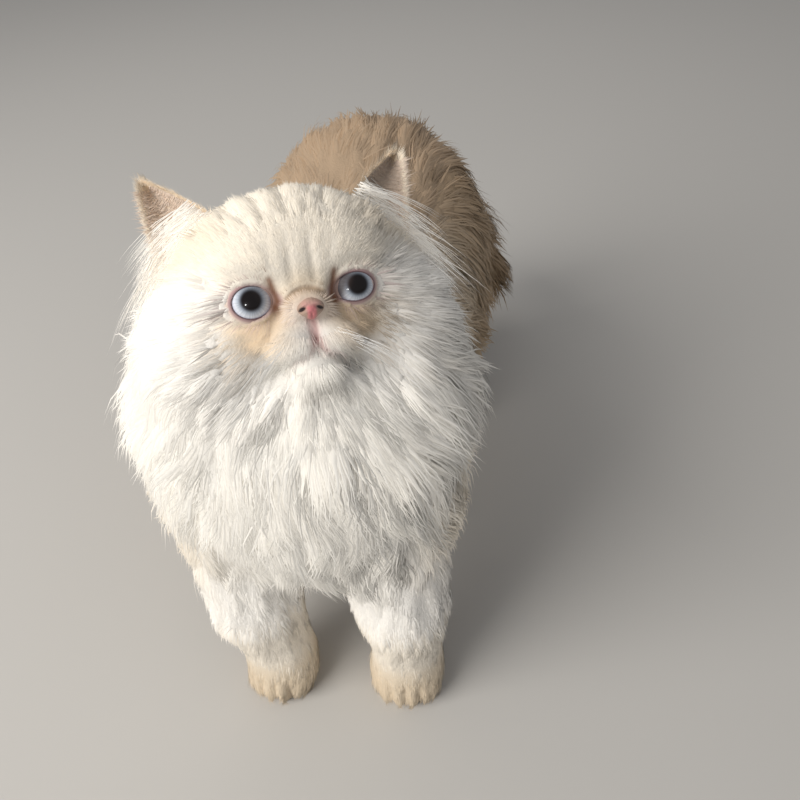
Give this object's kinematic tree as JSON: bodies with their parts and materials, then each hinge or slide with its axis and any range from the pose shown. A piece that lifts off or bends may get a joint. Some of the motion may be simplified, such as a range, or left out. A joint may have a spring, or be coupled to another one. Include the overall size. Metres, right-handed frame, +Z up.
{
  "type": "persian cat",
  "caption": "Life-size still figure of a long-haired persian cat, standing on four paws and looking up.",
  "frame": {"origin": "on the floor below the middle of the figure's outline", "axes": "+Z up, the cat faces -Y with its body along Y, and +X is its own left side"},
  "size_m": [0.198, 0.4402, 0.3122],
  "materials": {
    "coat_cream": "long soft cream-white coat",
    "coat_warm": "soft coat, warm cream to beige",
    "coat_tan": "long soft coat, light tan",
    "eye_blue": "wet glossy eye, pale blue iris",
    "nose_leather": "fine-grained moist pink nose leather"
  },
  "bodies": {
    "root": {"head": "coat_cream", "neck": "coat_cream", "chest": "coat_cream", "trunk": "coat_cream", "rump": "coat_warm", "tail_root": "coat_tan", "tail_tip": "coat_tan", "ear_left": "coat_warm", "ear_right": "coat_warm", "foreleg_left": "coat_cream", "foreleg_right": "coat_cream", "hindleg_left": "coat_cream", "hindleg_right": "coat_cream", "forepaw_left": "coat_warm", "forepaw_right": "coat_warm", "hindpaw_left": "coat_warm", "hindpaw_right": "coat_warm", "eye_left": "eye_blue", "eye_right": "eye_blue", "nose": "nose_leather"}
  },
  "joints": []
}
